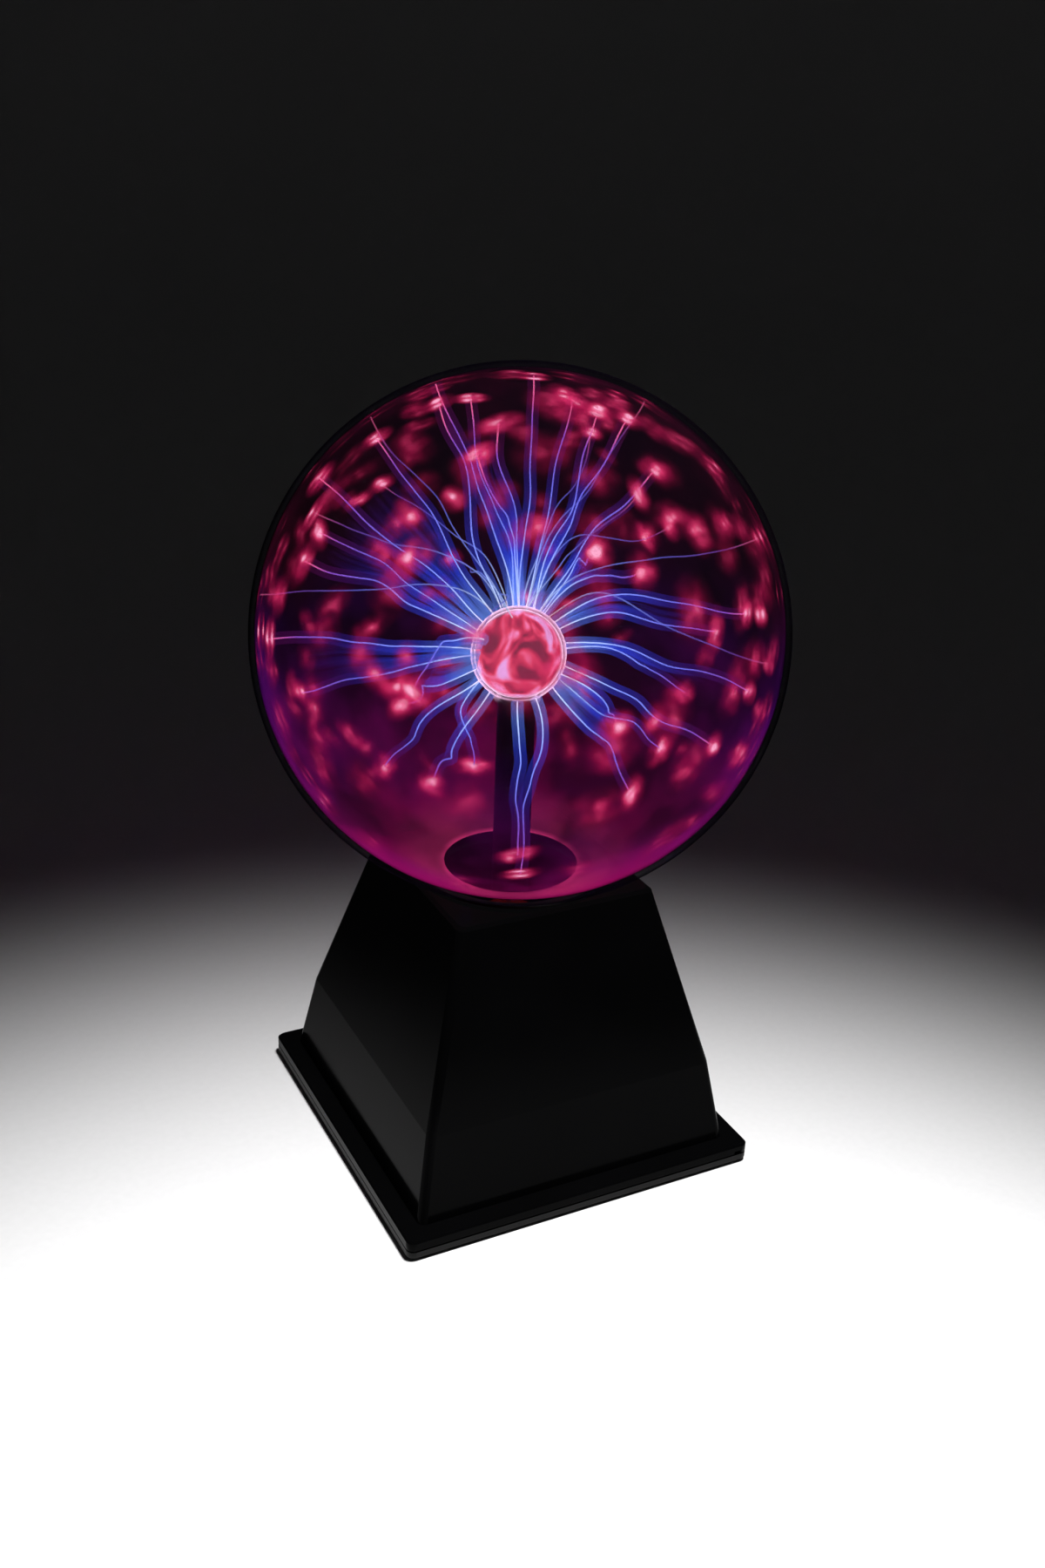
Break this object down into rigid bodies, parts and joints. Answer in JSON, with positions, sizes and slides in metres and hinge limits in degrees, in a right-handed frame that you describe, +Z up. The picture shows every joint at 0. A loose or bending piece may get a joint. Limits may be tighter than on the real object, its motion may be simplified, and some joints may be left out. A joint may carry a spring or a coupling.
{
  "type": "plasma ball",
  "caption": "Desk plasma ball: a glass globe with a glowing ball electrode on a glossy tapered square base with a rear rocker switch and power inlet.",
  "frame": {"origin": "centre of the footprint, on the surface the rubber feet stand on", "axes": "+Z up along the globe's axis; the front faces -Y; the rocker switch and power inlet are on the rear skirt, +Y"},
  "size_m": [0.2, 0.2, 0.3095],
  "materials": {
    "gloss_black_housing": "gloss",
    "moulded_black_plate": "satin",
    "rubber_feet": "matte",
    "black_rubber": "matte",
    "moulded_black_collar": "satin",
    "zinc_screw": "zinc plated",
    "globe_glass": "clear, dark inside",
    "bulb_glass": "clear",
    "metal_wool": "glowing wool",
    "stem_lining": "matte",
    "brass_rod": "drawn",
    "red_silicone": "satin",
    "red_wire": "satin",
    "black_wire": "satin",
    "board_laminate": "solder mask",
    "ferrite": "ground",
    "potting_resin": "gloss",
    "enamelled_copper": "enamelled",
    "transistor_epoxy": "matte",
    "extruded_aluminium": "anodised",
    "capacitor_sleeve": "sleeve",
    "film_capacitor_case": "dipped",
    "chip_epoxy": "matte",
    "microphone_can": "bright",
    "trimmer_blue": "satin",
    "trimmer_white": "satin",
    "jack_nylon": "satin",
    "nickel_pin": "plated",
    "switch_nylon": "satin",
    "rocker_gloss": "gloss",
    "tinned_tag": "tinned"
  },
  "bodies": {
    "base": {"base_housing": "gloss_black_housing", "board_screw_1": "zinc_screw", "board_screw_2": "zinc_screw", "board_screw_3": "zinc_screw", "board_screw_4": "zinc_screw", "bottom_plate": "moulded_black_plate", "circuit_board": "board_laminate", "collar_screw_1": "zinc_screw", "collar_screw_2": "zinc_screw", "collar_screw_3": "zinc_screw", "collar_screw_4": "zinc_screw", "core_clip": "zinc_screw", "core_lower": "ferrite", "core_upper": "ferrite", "cover_screw_1": "zinc_screw", "cover_screw_2": "zinc_screw", "cover_screw_3": "zinc_screw", "cover_screw_4": "zinc_screw", "dc_jack_nut": "zinc_screw", "dc_jack_pin": "nickel_pin", "dc_jack_shell": "jack_nylon", "electrode_bulb": "bulb_glass", "electrode_rod": "brass_rod", "electrode_wool": "metal_wool", "electrolytic_cap_1": "capacitor_sleeve", "electrolytic_cap_2": "capacitor_sleeve", "film_capacitor": "film_capacitor_case", "foot_1": "rubber_feet", "foot_2": "rubber_feet", "foot_3": "rubber_feet", "foot_4": "rubber_feet", "glass_globe": "globe_glass", "heat_sink": "extruded_aluminium", "hv_boot": "red_silicone", "hv_coil": "potting_resin", "hv_lead": "red_wire", "jack_lead_1": "red_wire", "jack_lead_2": "black_wire", "microphone": "microphone_can", "neck_collar": "moulded_black_collar", "neck_grommet": "black_rubber", "oscillator_ic": "chip_epoxy", "power_transistor": "transistor_epoxy", "primary_winding": "enamelled_copper", "seat_gasket": "black_rubber", "stem_sleeve": "stem_lining", "switch_frame": "switch_nylon", "switch_lead_1": "red_wire", "switch_lead_2": "black_wire", "switch_tag_1": "tinned_tag", "switch_tag_2": "tinned_tag", "switch_tag_3": "tinned_tag", "transistor_screw": "zinc_screw", "trimmer_body": "trimmer_blue"},
    "rocker": {"rocker_cap": "rocker_gloss"},
    "trimmer": {"trimmer_rotor": "trimmer_white"}
  },
  "joints": [
    {"name": "rocker_switch", "type": "hinge", "parent": "base", "child": "rocker", "pos_m": [0.022, 0.06286, 0.02583], "axis": [1, 0, 0], "range_deg": [0, 24]},
    {"name": "trimmer_turn", "type": "hinge", "parent": "base", "child": "trimmer", "pos_m": [0.02, 0.022, 0.0192], "axis": [0, 0, 1], "range_deg": [-135, 135]}
  ]
}
